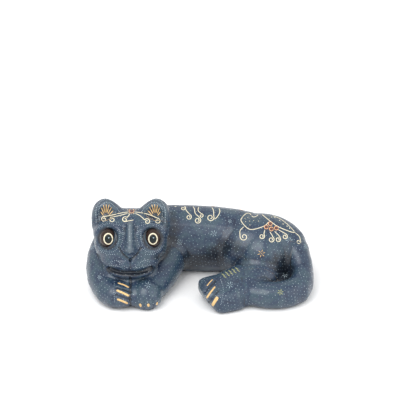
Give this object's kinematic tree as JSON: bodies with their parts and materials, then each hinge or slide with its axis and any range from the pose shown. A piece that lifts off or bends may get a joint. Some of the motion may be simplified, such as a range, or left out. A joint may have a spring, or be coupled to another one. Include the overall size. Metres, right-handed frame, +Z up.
{
  "type": "carved and painted wooden cat figure",
  "caption": "Reclining wooden cat figure, curled with its head turned to the viewer, carved from doweled blocks, with plug-in ears and a plug-in curled tail, painted all over with fine dots.",
  "frame": {"origin": "centre of the bounding box on the flat underside", "axes": "+X along the back towards the tail, +Y away from the face, +Z up"},
  "size_m": [0.239, 0.1418, 0.0986],
  "materials": {
    "painted_wood": "slate-blue paint, satin, with cream, gold and white painted decoration",
    "eye_paint": "dark brown gloss paint with a cream ring",
    "bare_wood": "bare turned wood, matte"
  },
  "bodies": {
    "carving": {"trunk": "painted_wood", "head": "painted_wood", "left_foreleg": "painted_wood", "right_foreleg": "painted_wood", "left_hind_leg": "painted_wood", "right_hind_leg": "painted_wood", "left_eye": "eye_paint", "right_eye": "eye_paint", "neck_dowel": "bare_wood", "left_foreleg_dowel": "bare_wood", "right_foreleg_dowel": "bare_wood", "left_hind_dowel": "bare_wood", "right_hind_dowel": "bare_wood"},
    "plug_in_left_ear": {"left_ear": "painted_wood", "left_ear_peg": "bare_wood"},
    "plug_in_right_ear": {"right_ear": "painted_wood", "right_ear_peg": "bare_wood"},
    "plug_in_tail": {"tail": "painted_wood", "tail_peg": "bare_wood"}
  },
  "joints": [
    {"name": "left_ear_pull", "type": "slide", "parent": "carving", "child": "plug_in_left_ear", "axis": [0.4067, 0, 0.9135], "range_m": [0, 0.03]},
    {"name": "right_ear_pull", "type": "slide", "parent": "carving", "child": "plug_in_right_ear", "axis": [-0.4067, 0, 0.9135], "range_m": [0, 0.03]},
    {"name": "tail_pull", "type": "slide", "parent": "carving", "child": "plug_in_tail", "axis": [0, -1, 0], "range_m": [0, 0.075]}
  ]
}
